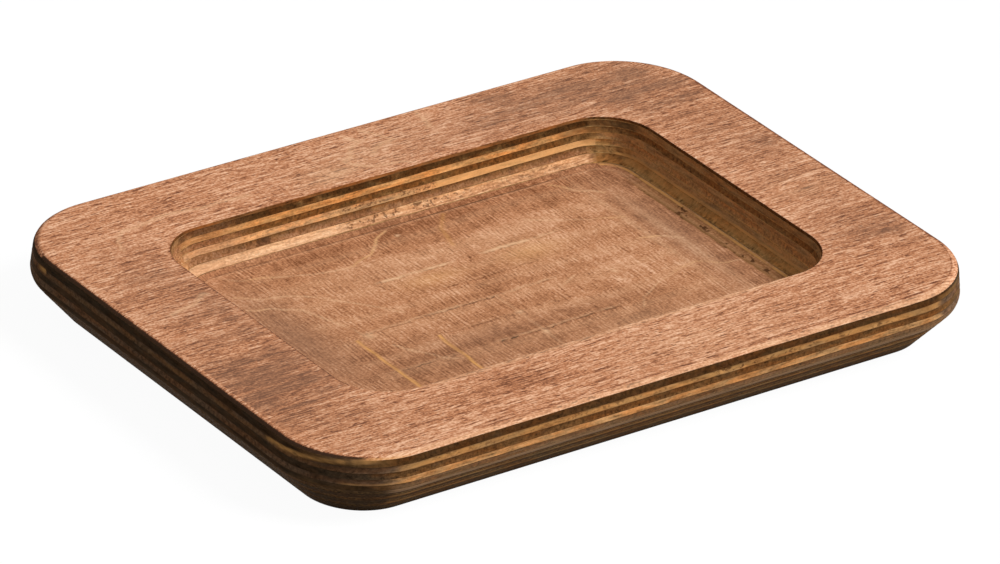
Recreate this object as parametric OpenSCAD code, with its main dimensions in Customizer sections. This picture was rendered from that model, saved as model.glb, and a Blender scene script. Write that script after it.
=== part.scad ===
// Wooden underliner for a small hot dish: a thick plywood board with a routed recess.
// The origin is the middle of the base, X runs along the board and Z points up.
// Depths are measured down from the top face, insets are measured in from an outline.

/* [Board] */
// Length of the board at its widest
board_length = 190; // [160:1:260]
// Width of the board at its widest
board_width = 142; // [115:1:200]
// Corner radius of the board, seen from above
board_corner_radius = 23.5; // [14:0.5:35]

/* [Plywood] */
// Number of veneers pressed into the board
ply_count = 13; // [11:2:17]
// Thickness of each face veneer after sanding
face_thickness = 0.7; // [0.5:0.05:1.2]
// Thickness of each inner veneer
core_thickness = 1.4; // [1.2:0.05:2]
// Thickness of each cured glue line
glue_thickness = 0.1; // [0.05:0.01:0.2]

/* [Edge] */
// Radius of the round-over along the top edge
top_round_radius = 2; // [1:0.1:3.5]
// Angle by which the wall leans out below the round-over
wall_lean_angle = 6; // [0:0.5:10]
// Depth at which the board is widest
widest_depth = 6.8; // [5:0.1:9]
// Radius of the blend from the wall into the bevel
bevel_blend_radius = 3; // [1:0.1:5]
// Angle of the bevel under the board, measured from the upright
bevel_angle = 41; // [20:1:48]

/* [Recess] */
// Length of the dish recess at the top face
recess_length = 136.5; // [100:0.5:146]
// Width of the dish recess at the top face
recess_width = 91; // [60:0.5:98]
// Corner radius of the dish recess at the top face
recess_corner_radius = 14; // [10:0.5:25]
// Depth of the dish recess
recess_depth = 10.2; // [7:0.1:14]
// Draft of the recess wall, measured from the upright
recess_draft_angle = 14; // [0:0.5:20]
// Radius of the cove between the recess wall and its floor
recess_cove_radius = 6.5; // [2:0.1:8]

/* [Hidden] */
// Straight steps that stand for each rounded stretch of a profile
arc_steps = 8;
// Facets of a full turn where a corner is drawn as a mesh
corner_facets = 96;
// How far a cutter runs past the layer it cuts
cutter_overrun = 1;
// Two heights closer than this count as one
height_tolerance = 0.01;
// Profile points lie on this grid, so that straight sides and corners meet exactly
profile_grid = 0.001;

face_colour = [0.80, 0.59, 0.46];
long_ply_colour = [0.72, 0.49, 0.30];
cross_ply_colour = [0.42, 0.27, 0.16];
glue_colour = [0.16, 0.09, 0.05];

board_thickness = 2 * face_thickness + (ply_count - 2) * core_thickness + (ply_count - 1) * glue_thickness;
ply_pitch = core_thickness + glue_thickness;

// Where the straight wall meets the blend, and where the blend meets the bevel
blend_top_depth = widest_depth - bevel_blend_radius * sin(wall_lean_angle);
blend_bottom_depth = widest_depth + bevel_blend_radius * sin(bevel_angle);
blend_top_inset = bevel_blend_radius * (1 - cos(wall_lean_angle));
blend_bottom_inset = bevel_blend_radius * (1 - cos(bevel_angle));

// Where the cove is centred, and where the drafted recess wall meets it
cove_centre_depth = recess_depth - recess_cove_radius;
cove_centre_inset =
    recess_cove_radius / cos(recess_draft_angle) + cove_centre_depth * tan(recess_draft_angle);
cove_top_depth = cove_centre_depth + recess_cove_radius * sin(recess_draft_angle);

function ply_name(i) =
    i == 1 ? "top_face_veneer" :
    i == ply_count ? "bottom_face_veneer" :
    str(i % 2 == 0 ? "cross_ply_" : "long_ply_", i);
function glue_name(i) = str("glue_line_", i);

// Veneers are numbered from the top, and glue line i lies under veneer i
function ply_top(i) = i == 1 ? 0 : face_thickness + glue_thickness + (i - 2) * ply_pitch;
function ply_bottom(i) = ply_top(i) + (i == 1 || i == ply_count ? face_thickness : core_thickness);

// Inset of a circular arc whose deepest inset is at its centre's depth
function arc_inset(centre_inset, radius, offset) =
    centre_inset - sqrt(max(0, radius * radius - offset * offset));

// Inset of the leaning wall, and of the whole outside profile, from the widest outline
function wall_inset(depth) = blend_top_inset + (blend_top_depth - depth) * tan(wall_lean_angle);
function edge_inset(depth) =
    depth < top_round_radius ?
        arc_inset(wall_inset(top_round_radius) + top_round_radius, top_round_radius,
            top_round_radius - depth) :
    depth < blend_top_depth ? wall_inset(depth) :
    depth < blend_bottom_depth ? arc_inset(bevel_blend_radius, bevel_blend_radius, depth - widest_depth) :
    blend_bottom_inset + (depth - blend_bottom_depth) * tan(bevel_angle);

// Inset of the recess wall from its outline at the top face
function recess_inset(depth) =
    depth < cove_top_depth ? depth * tan(recess_draft_angle) :
    arc_inset(cove_centre_inset, recess_cove_radius, depth - cove_centre_depth);

// Depths at which each profile turns
edge_turns = concat(
    [for (i = [0 : arc_steps]) top_round_radius * (1 - cos(90 * i / arc_steps))],
    [for (i = [0 : arc_steps])
        widest_depth
            + bevel_blend_radius * sin(-wall_lean_angle + (wall_lean_angle + bevel_angle) * i / arc_steps)]
);
recess_turns = [for (i = [0 : arc_steps])
    cove_centre_depth
        + recess_cove_radius * sin(recess_draft_angle + (90 - recess_draft_angle) * i / arc_steps)];

// Point of a profile, as its inset and its height above the base
function profile_point(inset, height) = [for (v = [inset, height]) round(v / profile_grid) * profile_grid];

// The turns that fall between two depths, with the two depths themselves
function depths_between(turns, top, bottom) = concat(
    [top],
    [for (d = turns) if (d > top + height_tolerance && d < bottom - height_tolerance) d],
    [bottom]
);

// Rounded-rectangle slab whose side follows a list of [inset, height] points
module profiled_slab(length, width, corner_radius, side) {
    straight_x = length / 2 - corner_radius;
    straight_y = width / 2 - corner_radius;
    ends = [side[len(side) - 1][1], side[0][1]];
    // Cross-section from the middle plane out to one side, for a given half size
    function half_section(half) = concat(
        [for (p = side) [half - p[0], p[1]]],
        [for (z = ends) [0, z]]
    );
    function full_section(half) = concat(
        [for (p = side) [half - p[0], p[1]]],
        [for (i = [len(side) - 1 : -1 : 0]) [side[i][0] - half, side[i][1]]]
    );
    for (turn = [0 : 3]) {
        sx = turn == 0 || turn == 3 ? 1 : -1;
        sy = turn < 2 ? 1 : -1;
        translate([sx * straight_x, sy * straight_y, 0])
            rotate([0, 0, 90 * turn])
                rotate_extrude(angle = 90, $fn = corner_facets)
                    polygon(half_section(corner_radius));
    }
    rotate([90, 0, 90])
        linear_extrude(2 * straight_x, center = true)
            polygon(full_section(width / 2));
    rotate([90, 0, 0])
        linear_extrude(2 * straight_y, center = true)
            polygon(full_section(length / 2));
}

// The part of the recess that reaches into a layer, run on past the layer's faces
module recess_cut(top, bottom) {
    floor_depth = min(bottom, recess_depth);
    depths = depths_between(recess_turns, top, floor_depth);
    wall = [for (d = depths) profile_point(recess_inset(d), board_thickness - d)];
    above = profile_point(recess_inset(top), board_thickness - top + cutter_overrun);
    below = profile_point(recess_inset(bottom), board_thickness - bottom - cutter_overrun);
    profiled_slab(recess_length, recess_width, recess_corner_radius,
        concat([above], wall, bottom < recess_depth ? [below] : []));
}

// One layer of the board between two depths, with the recess cut from it
module layer(top, bottom) {
    depths = depths_between(edge_turns, top, bottom);
    side = [for (d = depths) profile_point(edge_inset(d), board_thickness - d)];
    difference() {
        profiled_slab(board_length, board_width, board_corner_radius, side);
        if (top < recess_depth - height_tolerance) recess_cut(top, bottom);
    }
}

// Thin veneer on the top or the bottom of the board, its grain along the board
module face_veneer(i) {
    color(face_colour) layer(ply_top(i), ply_bottom(i));
}

// Inner veneer with its grain along the board
module long_ply(i) {
    color(long_ply_colour) layer(ply_top(i), ply_bottom(i));
}

// Inner veneer with its grain across the board
module cross_ply(i) {
    color(cross_ply_colour) layer(ply_top(i), ply_bottom(i));
}

// Cured resin between veneer i and the next one down
module glue_line(i) {
    color(glue_colour) layer(ply_bottom(i), ply_top(i + 1));
}

for (i = [1 : ply_count])
    union() {
        if (i == 1 || i == ply_count) face_veneer(i);
        else if (i % 2 == 0) cross_ply(i);
        else long_ply(i);
    }
for (i = [1 : ply_count - 1])
    glue_line(i);
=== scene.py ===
"""Looks of a plywood underliner for a hot dish.

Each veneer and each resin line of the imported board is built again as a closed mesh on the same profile, with
wandering joins, torn grain and cutter marks. Lengths are millimetres until a mesh is made.
"""
import itertools
import math

import bpy
import numpy as np
from mathutils import Matrix, Vector


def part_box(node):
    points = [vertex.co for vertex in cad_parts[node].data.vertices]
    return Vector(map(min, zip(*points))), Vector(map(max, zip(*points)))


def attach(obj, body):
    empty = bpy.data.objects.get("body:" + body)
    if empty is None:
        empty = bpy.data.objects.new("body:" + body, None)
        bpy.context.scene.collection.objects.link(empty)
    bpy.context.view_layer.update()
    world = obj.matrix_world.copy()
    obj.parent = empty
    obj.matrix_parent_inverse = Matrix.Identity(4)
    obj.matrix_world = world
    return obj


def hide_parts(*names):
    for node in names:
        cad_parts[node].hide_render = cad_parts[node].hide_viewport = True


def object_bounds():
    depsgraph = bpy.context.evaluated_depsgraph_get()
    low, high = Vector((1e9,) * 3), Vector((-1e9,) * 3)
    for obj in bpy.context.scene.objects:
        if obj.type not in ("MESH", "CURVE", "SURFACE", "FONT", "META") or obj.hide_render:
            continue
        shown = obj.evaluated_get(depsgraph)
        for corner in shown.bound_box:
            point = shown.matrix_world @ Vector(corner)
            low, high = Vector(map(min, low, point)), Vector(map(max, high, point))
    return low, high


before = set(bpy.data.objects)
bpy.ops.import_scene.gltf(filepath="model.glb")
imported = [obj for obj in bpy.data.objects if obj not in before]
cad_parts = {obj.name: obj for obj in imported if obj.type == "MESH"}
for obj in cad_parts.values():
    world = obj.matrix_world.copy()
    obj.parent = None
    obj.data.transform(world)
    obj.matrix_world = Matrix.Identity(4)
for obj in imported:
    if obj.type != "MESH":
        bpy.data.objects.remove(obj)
cad_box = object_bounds()

MM = 0.001
HALF_LENGTH, HALF_WIDTH, TOP = (value / MM for value in cad_box[1])

# Outside profile, from the round-over at the top to the bevel underneath
CORNER_RADIUS = 23.5
ROUND_RADIUS = 2.0
WALL_LEAN = math.radians(6)
WIDEST_DEPTH = 6.8
BLEND_RADIUS = 3.0
BEVEL_ANGLE = math.radians(41)

# Recess profile, from its worn lip to the cove at its floor
RECESS_LENGTH = 136.5
RECESS_WIDTH = 91.0
RECESS_RADIUS = 14.0
RECESS_DEPTH = 10.2
RECESS_DRAFT = math.radians(14)
COVE_RADIUS = 6.5
LIP_RADIUS = 0.08

# Layers from the top down, and the depth of each face between them
LAYERS = sorted(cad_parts, key=lambda name: -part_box(name)[1].z)
LEVELS = [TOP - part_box(name)[1].z / MM for name in LAYERS] + [TOP]
FLOOR_LEVEL = TOP - RECESS_DEPTH


def kind_of(layer):
    """Which palette a layer takes: face, long, cross or glue."""
    return "face" if "face" in layer else layer.split("_")[0]


# Mesh steps along each straight side and round each corner of an outline
STEPS_X = 210
STEPS_Y = 240
STEPS_CORNER = 56
SIDE_STEPS = (STEPS_Y, STEPS_X, STEPS_Y, STEPS_X)
OUTER_ROWS = 5
RECESS_ROWS = 6
TOP_ROWS = 44
COVE_FOOT_ROWS = 8

# How far the joins between layers wander, and how far the cut faces are torn
WANDER = 0.12
RIPPLE = 0.04
RESIN_SWELL = 0.035
PIT_DEPTH = 0.35
END_GRAIN_SINK = 0.06
CUT_ROUGHNESS = 0.02
BASE_BORDER = 0.2


def smooth_step(low, high, value):
    """0 below low, 1 above high, and an even curve between them."""
    t = np.clip((value - low) / (high - low), 0, 1)
    return t * t * (3 - 2 * t)


def stretch(start, end, soft, value):
    """1 where a value lies between a start and an end, with soft ends."""
    return smooth_step(start - soft, start + soft, value) * smooth_step(end + soft, end - soft, value)


def bell(value, width):
    """1 where a value is 0, falling to 0 over about a width on both sides."""
    return np.exp(-((value / width) ** 2))


def lattice(cells, seed):
    """A number from -1 to 1 for each whole-numbered cell, the same on every run."""
    h = cells[0] * 374761393 + cells[1] * 668265263 + cells[2] * 974634777 + seed * 1274126177
    h = (h ^ (h >> 13)) & 0xFFFFFFFF
    h = (h * 1274126177) & 0xFFFFFFFF
    return ((h ^ (h >> 16)) & 0xFFFF) / 32767.5 - 1


def noise(x, y, z, seed):
    """Smooth noise from -1 to 1 over cells of one unit. Each use has a seed of its own."""
    places = np.broadcast_arrays(*(np.asarray(v, float) for v in (x, y, z)))
    cells = [np.floor(v).astype(np.int64) for v in places]
    parts = [v - c for v, c in zip(places, cells)]
    fades = [p * p * (3 - 2 * p) for p in parts]
    total = 0
    for corner in itertools.product((0, 1), repeat=3):
        weight = 1
        for fade, far in zip(fades, corner):
            weight = weight * (fade if far else 1 - fade)
        total = total + weight * lattice([c + far for c, far in zip(cells, corner)], seed)
    return total


# Depth at which the side turns into the bevel
BEVEL_DEPTH = WIDEST_DEPTH + BLEND_RADIUS * math.sin(BEVEL_ANGLE)


def edge_inset(depth):
    """How far the board's side lies inside its widest outline."""
    blend_top = WIDEST_DEPTH - BLEND_RADIUS * math.sin(WALL_LEAN)
    wall_foot = BLEND_RADIUS * (1 - math.cos(WALL_LEAN))
    bevel_top = BLEND_RADIUS * (1 - math.cos(BEVEL_ANGLE))
    wall = wall_foot + (blend_top - depth) * math.tan(WALL_LEAN)
    round_foot = wall_foot + (blend_top - ROUND_RADIUS) * math.tan(WALL_LEAN)
    above = ROUND_RADIUS - np.minimum(depth, ROUND_RADIUS)
    rounded = round_foot + ROUND_RADIUS - np.sqrt(ROUND_RADIUS**2 - above**2)
    below = np.clip(depth - WIDEST_DEPTH, -BLEND_RADIUS, BLEND_RADIUS)
    blend = BLEND_RADIUS - np.sqrt(BLEND_RADIUS**2 - below**2)
    bevel = bevel_top + (depth - BEVEL_DEPTH) * math.tan(BEVEL_ANGLE)
    where = [depth < ROUND_RADIUS, depth < blend_top, depth < BEVEL_DEPTH]
    return np.select(where, [rounded, wall, blend], bevel)


def recess_inset(depth):
    """How far the recess wall lies inside its outline at the top face."""
    centre_depth = RECESS_DEPTH - COVE_RADIUS
    centre_inset = COVE_RADIUS / math.cos(RECESS_DRAFT) + centre_depth * math.tan(RECESS_DRAFT)
    cove_top = centre_depth + COVE_RADIUS * math.sin(RECESS_DRAFT)
    below = np.clip(depth - centre_depth, 0, COVE_RADIUS)
    cove = centre_inset - np.sqrt(COVE_RADIUS**2 - below**2)
    wall = depth * math.tan(RECESS_DRAFT)
    worn = np.clip(1 - depth / LIP_RADIUS, 0, 1)
    lip = LIP_RADIUS * (1 - np.sqrt(1 - worn**2))
    return np.where(depth < cove_top, wall - lip, cove)


def recess_lie(depth):
    """How nearly flat the recess wall lies: 0 where it stands, 1 at the floor."""
    return smooth_step(0.42, 1.0, (depth - RECESS_DEPTH + COVE_RADIUS) / COVE_RADIUS)


def outline_feet(length, width, radius):
    """Points that a rounded outline is offset from, from the middle of the near right corner round."""
    x, y = length / 2 - radius, width / 2 - radius
    corners = np.array([(x, -y), (x, y), (-x, y), (-x, -y)])
    feet = []
    for start, end, count in zip(corners, np.roll(corners, -1, axis=0), SIDE_STEPS):
        t = np.arange(count)[:, None] / count
        feet.append(start * (1 - t) + end * t)
        feet.append(np.tile(end, (STEPS_CORNER, 1)))
    return np.roll(np.concatenate(feet), STEPS_CORNER // 2, axis=0)


def outline_normals():
    """Directions in which outlines are offset, one for each foot."""
    angles = []
    for quarter, count in enumerate(SIDE_STEPS):
        angles.append(np.full(count, 90.0 * quarter))
        angles.append(90.0 * quarter + 90.0 * np.arange(STEPS_CORNER) / STEPS_CORNER)
    turned = np.radians(np.roll(np.concatenate(angles), STEPS_CORNER // 2))
    return np.stack([np.cos(turned), np.sin(turned)], 1)


OUTER_FEET = outline_feet(2 * HALF_LENGTH, 2 * HALF_WIDTH, CORNER_RADIUS)
RECESS_FEET = outline_feet(RECESS_LENGTH, RECESS_WIDTH, RECESS_RADIUS)
NORMALS = outline_normals()
COUNT = len(NORMALS)

# Kinds of marks, in the order of their columns
PALE, DARK, GOLD, GREY = range(4)

# Columns of a point: its place, how it was cut (end grain, lie, outside), its marks and its tear
CUT = slice(3, 6)
MARKS = slice(6, 10)
TEAR = 10
COLUMNS = 11
FLAT_CUT = (0, 1, 0)
ATTRIBUTES = [
    ("cut", CUT, "FLOAT_VECTOR", "vector"), ("marks", MARKS, "FLOAT_COLOR", "color"),
    ("tear", TEAR, "FLOAT", "value"),
]

# Bearing of every foot of an outline, in degrees from the right over the far side
BEARINGS = np.degrees(np.arctan2(NORMALS[:, 1], NORMALS[:, 0])) % 360

# Thin dark line along the left lip of the recess, and how dark it leaves the top face beside it
LIP_BEARINGS = (135, 205)
LIP_SHADE = 0.35

# Far left corner of the recess: how far its plies fade into one tone, cross_ply_2 less, and how dark they get
LEFT_FADE = 0.75
CROSS_PLY_2_FADE = 0.4
FADE_SHADES = {"long": 0.7, "cross": 0.15, "glue": 0.15}

# Torn grain on the far recess wall and the near side, by layer and if in the recess: start, end, strength
TORN = {
    ("long_ply_3", True): [(-54, 48, 0.35)],
    ("long_ply_5", True): [(-50, -14, 0.4), (-14, 13.5, 1.0)],
    ("long_ply_7", True): [(-50, -14, 0.3), (-14, 22, 1.0), (22, 54, 0.55)],
    ("cross_ply_2", False): [(-70, 70, 0.45)],
    ("long_ply_3", False): [(-68, 10, 0.6), (10, 28, 1.0), (28, 68, 0.8)],
    ("cross_ply_4", False): [(-70, 70, 0.4)],
}
# Lighter golden wood, by layer and whether in the recess: bearings, shares of the thickness, and strength
GOLDEN = {
    ("top_face_veneer", False): [(238, 262, 0.55, 1, 0.5)],
    ("cross_ply_2", False): [(200, 255, 0, 1, 0.1), (285, 330, 0.3, 1, 0.18)],
    ("long_ply_3", False): [(172, 212, 0.2, 0.8, 0.15), (262, 285, 0.15, 0.85, 0.5)],
    ("cross_ply_4", False): [(285, 330, 0, 1, 0.25)],
    ("long_ply_5", False): [(225, 265, 0.7, 1, 0.3)],
    ("cross_ply_6", False): [(200, 255, 0, 1, 0.08)],
    ("long_ply_5", True): [(-40, 40, 0.9, 1, 0.7)],
    ("cross_ply_6", True): [(-40, 40, 0, 0.9, 0.12), (-40, 40, 0.8, 1, 1)],
    ("glue_line_6", True): [(-40, 40, 0, 1, 1)],
    ("long_ply_7", True): [(-40, 25, 0.05, 0.7, 0.55)],
    ("cross_ply_8", True): [(-40, 60, 0.2, 0.5, 1.1)],
}
# Stain on recess walls, by layer or kind of layer: bearings, kind of mark and strength
STAINED = {
    "top_face_veneer": [(97, 195, DARK, 0.3), (215, 285, PALE, 0.45)],
    "cross_ply_2": [(-45, 20, PALE, 0.08), (20, 70, DARK, 0.6), (108, 160, DARK, 0.35)],
    "long_ply_3": [(-40, 70, DARK, 0.35), (165, 240, DARK, 0.45)],
    "cross_ply_4": [(-45, 60, PALE, 0.14), (108, 160, DARK, 0.35), (165, 240, PALE, 0.15)],
    "long_ply_5": [(-45, 45, PALE, 0.12), (105, 180, DARK, 0.2), (165, 240, DARK, 0.35)],
    "cross_ply_6": [
        (-45, 20, PALE, 0.15), (20, 120, DARK, 0.12), (108, 160, DARK, 0.15), (165, 240, PALE, 0.2)],
    "long_ply_7": [(20, 75, DARK, 0.3), (105, 180, DARK, 0.25), (165, 240, DARK, 0.35)],
    "cross_ply_8": [(50, 130, DARK, 0.6)],
    "glue_line_7": [(-45, 60, DARK, 0.4)],
    "glue": [(165, 240, DARK, 0.7)],
}
# Stretches of the far recess wall that differ, by layer: start, end, kind of mark and strength
STRETCHES = {
    "long_ply_3": [(-60, -20, GOLD, 0.2), (50.5, 62, DARK, 0.5)],
    "long_ply_5": [
        (-60, -14, PALE, 0.25), (-14, 13.5, PALE, 0.2), (-14, 13.5, DARK, 0.25),
        (13.5, 62, PALE, 0.3), (13.5, 62, GOLD, 0.5)],
    "cross_ply_6": [(-38.5, -34.5, DARK, 0.75)],
    "long_ply_7": [(-62, -14, PALE, 0.4), (-14, 62, PALE, 0.1), (-14, 62, DARK, 0.15)],
}


def on_bearing(first, last):
    """1 for the feet of an outline whose bearing is between two bearings, with soft ends."""
    middle, half = (first + last) / 2, (last - first) / 2
    off = np.abs((BEARINGS - middle + 180) % 360 - 180)
    return smooth_step(half + 5, half - 5, off)


def join_depth(level, x, y):
    """Depth of the face between two layers, which wanders as pressed veneers do."""
    if level in (0, len(LEVELS) - 1):
        return np.full(np.shape(x), LEVELS[level])
    line = (level + 1) // 2
    wander = WANDER * noise(x / 38, y / 38, 0.5, line) + RIPPLE * noise(x / 6, y / 6, 0.5, line + 50)
    swell = RESIN_SWELL * noise(x / 11, y / 11, 0.5, line + 100)
    return LEVELS[level] + wander + (swell if level % 2 == 0 else -swell)


def torn(layer, in_recess, points, share):
    """How torn a row of a cut wall is, from 0 to 1, at a share of the layer's thickness."""
    x, y, z = points.T
    facing = NORMALS[:, 1] if in_recess else -NORMALS[:, 1]
    found = np.zeros(COUNT)
    for start, end, strength in TORN.get((layer, in_recess), []):
        found = np.maximum(found, (facing > 0.98) * stretch(start, end, 1, x) * strength)
    clumps = smooth_step(-1.0, 0.0, noise(x / 2.2, y / 2.2, z / 2.2, 9))
    edges = smooth_step(0, 0.2, share) * smooth_step(1, 0.8, share)
    return found * clumps * edges


def wall_marks(layer, in_recess, points, share):
    """Pale, dark, gold and grey marks of a row of a cut wall, from the tables."""
    found = []
    spots = 0.4 + 0.6 * smooth_step(-0.5, 0.4, noise(*(points / [4, 4, 1.2]).T, 33))
    for first, last, low, high, strength in GOLDEN.get((layer, in_recess), []):
        found.append((GOLD, strength * on_bearing(first, last) * (low <= share <= high) * spots))
    if in_recess:
        for first, last, kind, strength in STAINED.get(layer, []) + STAINED.get(kind_of(layer), []):
            found.append((kind, strength * on_bearing(first, last)))
        ragged = points[:, 0] + 1.2 * noise(*(points / [1.5, 1.5, 0.5]).T, 34)
        for start, end, kind, strength in STRETCHES.get(layer, []):
            found.append((kind, strength * stretch(start, end, 0.4, ragged) * (NORMALS[:, 1] > 0.9)))
    marks = np.zeros((COUNT, 4))
    for kind, strengths in found:
        marks[:, kind] = np.maximum(marks[:, kind], strengths)
    return marks


def end_grain(layer, x, y, z):
    """How far a wall cuts across the grain, from 0 to 1."""
    ragged = 0.08 * noise(x / 2.5, y / 2.5, z / 0.8, 21)
    if "cross" in layer:
        return smooth_step(0.84, 1.0, np.abs(NORMALS[:, 1]) + ragged)
    return smooth_step(0.2, 0.34, np.abs(NORMALS[:, 0]) + ragged)


def left_fade(x):
    """How far the recess wall turns into one tone round its far left corner, from 0 to 1."""
    turned = smooth_step(96, 135, BEARINGS) * smooth_step(190, 150, BEARINGS)
    before = 0.5 * smooth_step(-36, -54, x) * on_bearing(85, 150)
    return np.maximum(turned, before)


def recess_look(layer, depth, place, share):
    """How flat a row of the recess wall looks, and its marks at the lip and where the plies fade."""
    marks = np.zeros((COUNT, 4))
    if layer == LAYERS[0]:
        marks[:, DARK] = on_bearing(*LIP_BEARINGS) * (share == 0)
        return smooth_step(0.12, 0.02, depth), marks
    lie = recess_lie(depth)
    if LEVELS[LAYERS.index(layer) + 1] < RECESS_DEPTH:
        fade = left_fade(place[:, 0]) * (CROSS_PLY_2_FADE if layer == "cross_ply_2" else 1.0)
        lie = np.maximum(lie * (1 - on_bearing(-30, 70)), LEFT_FADE * fade)
        marks[:, DARK] = FADE_SHADES[kind_of(layer)] * fade
    return lie, marks


# Pale glint along the near rim, and where the near side turns into the bevel
EDGE_GLINTS = {"top_face_veneer": 0.4, "cross_ply_6": 0.18, "long_ply_7": 0.85}
# Dark stain on the outside of the top veneer: bearings, strength, and the depths where it starts and is full
RIM_SHADES = [
    (-12, 60, 0.8, 0.0, 0.03), (60, 165, 0.6, 0.1, 0.4), (165, 240, 0.95, 0.08, 0.26),
]
# Golden line of the near left corner: depth where it starts, climb, half thickness and length
CORNER_LINE_DEPTH = 2.5
CORNER_LINE_CLIMB = 0.063
CORNER_LINE_HALF = 0.5
CORNER_LINE_LENGTH = 26.5


def edge_glint(layer, depth, place):
    """Painted highlight on the outside: how pale it is, in streaks."""
    streaks = 0.9 + 0.6 * noise(*(place / [9, 9, 0.22]).T, 53)
    reach = on_bearing(252, 300 if layer == LAYERS[0] else 335)
    return EDGE_GLINTS.get(layer, 0) * streaks * reach * smooth_step(0.0, 0.05, depth)


def edge_stain_and_shade(layer, depth, share):
    """How dark the outside is: along the rim and its groove, at the joins and the near left corner, with
    painted shade on the bevel of the side away from the lamp and painted shade that grows down the bevel.
    """
    if layer == LAYERS[0]:
        shades = [0.55 * on_bearing(290, 360) * (share == 0)]
        for first, last, strength, start, full in RIM_SHADES:
            shades.append(strength * on_bearing(first, last) * smooth_step(start, full, depth))
        return np.maximum.reduce(shades)
    turned = smooth_step(BEVEL_DEPTH - 2, BEVEL_DEPTH, depth)
    # Painted shade on the bevel of the left side and the near left corner, which face away from the lamp
    unlit_side_shade = 0.95 * on_bearing(150, 256) * turned
    corner = (0.3 + 0.15 * (depth > 4)) * on_bearing(205, 250) * ("long" in layer)
    # Painted shade that grows down the bevel towards the floor
    down = 0.4 * smooth_step(BEVEL_DEPTH, TOP, depth) + 0.4 * smooth_step(13, TOP, depth)
    join = 0.9 * turned * (share > 0.5 if "long" in layer else share < 0.3)
    return np.maximum.reduce([unlit_side_shade, corner, down, join])


def corner_gold_and_highlight(depth, place):
    """Broken golden line that climbs round the near left corner: golden wood with a painted highlight,
    strongest near its start.
    """
    before = -OUTER_FEET[:, 1] - HALF_WIDTH + CORNER_RADIUS
    run = np.where(NORMALS[:, 0] < -0.999, before, CORNER_RADIUS * np.radians(BEARINGS - 180))
    off = np.abs(depth - CORNER_LINE_DEPTH + CORNER_LINE_CLIMB * run)
    line = smooth_step(CORNER_LINE_HALF + 0.25, CORNER_LINE_HALF - 0.25, off)
    broken = 0.8 + 0.6 * noise(*(place / [1.4, 1.4, 0.35]).T, 54)
    reach = smooth_step(-6, -2, run) * smooth_step(CORNER_LINE_LENGTH + 2.5, CORNER_LINE_LENGTH - 2.5, run)
    return (1.1 - 0.6 * smooth_step(4, 18, run)) * reach * line * broken


def edge_look(layer, depth, place, share):
    """How flat a row of the outside looks, and as marks its painted glints, its stains and painted shade, and
    its golden line with its painted highlight.
    """
    marks = np.zeros((COUNT, 4))
    marks[:, PALE] = edge_glint(layer, depth, place)
    marks[:, DARK] = edge_stain_and_shade(layer, depth, share)
    marks[:, GOLD] = corner_gold_and_highlight(depth, place)
    return np.full(COUNT, float(layer == LAYERS[0])), marks


def wall_depth(layer, in_recess, outline, share):
    """Depth of a row, between the joins above and below a layer where they meet an outline."""
    index = LAYERS.index(layer)
    top, foot = (join_depth(index + i, *outline.T) for i in (0, 1))
    if in_recess:
        top, foot = np.minimum(top, RECESS_DEPTH), np.minimum(foot, RECESS_DEPTH)
    return top + (foot - top) * share


def wall_sink(layer, place, end, tear, share):
    """How far a row lies behind its outline: in torn pits, in end grain and where the cut is rough."""
    if "glue" in layer:
        return np.zeros(COUNT)
    middle = smooth_step(0, 0.15, share) * smooth_step(1, 0.85, share)
    pit = PIT_DEPTH * tear * smooth_step(0.0, 0.6, noise(*(place / [0.9, 0.9, 1.1]).T, 7))
    return pit + middle * (END_GRAIN_SINK * end + CUT_ROUGHNESS * (1 + noise(*(place / 0.6).T, 31)))


def wall_row(layer, in_recess, share):
    """One row of points of a layer's cut wall, at a share of the layer's thickness."""
    feet, radius = (RECESS_FEET, RECESS_RADIUS) if in_recess else (OUTER_FEET, CORNER_RADIUS)
    inset, look = (recess_inset, recess_look) if in_recess else (edge_inset, edge_look)
    depth = wall_depth(layer, in_recess, feet + NORMALS * radius, share)
    reach = radius - inset(depth)
    place = np.column_stack([feet + NORMALS * reach[:, None], TOP - depth])
    tear = torn(layer, in_recess, place, share)
    marks = wall_marks(layer, in_recess, place, share)
    end = end_grain(layer, *place.T)
    sink = wall_sink(layer, place, end, tear, share)
    place[:, :2] += NORMALS * (sink if in_recess else -sink)[:, None]
    lie, more_marks = look(layer, depth, place, share)
    outside = 0 * depth if in_recess else 1 + smooth_step(BEVEL_DEPTH - 1.6, BEVEL_DEPTH + 0.4, depth)
    return np.column_stack([place, end, lie, outside, np.maximum(marks, more_marks), tear])


def wall_rows(layer, in_recess, rows, near_top=1, near_foot=1):
    """Rows of a cut wall from the top of a layer down, closer at the end whose power is over 1."""
    shares = [1 - (1 - (i / rows) ** near_top) ** near_foot for i in range(rows + 1)]
    return [wall_row(layer, in_recess, share) for share in shares]


def line_mark(x, y, points, width):
    """How near each place is to a line through given points, from 0 to 1 on the line."""
    nearest = np.full(np.shape(x), np.inf)
    for (ax, ay), (bx, by) in zip(points, points[1:]):
        dx, dy = bx - ax, by - ay
        t = np.clip(((x - ax) * dx + (y - ay) * dy) / (dx * dx + dy * dy), 0, 1)
        nearest = np.minimum(nearest, np.hypot(x - ax - t * dx, y - ay - t * dy))
    return bell(nearest, width)


def clouds_of(patches, x, y):
    """Sum of soft patches, each with its centre, size and strength."""
    return sum(s * np.exp(-((x - cx) / w) ** 2 - ((y - cy) / h) ** 2) for cx, cy, w, h, s in patches)


# Relief of the top face, how far its two outermost rows lie inside it, and the dark groove along the near rim
TOP_RELIEF = 0.02
END_ROW = 0.3
RIM_GROOVE = 0.75

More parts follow.
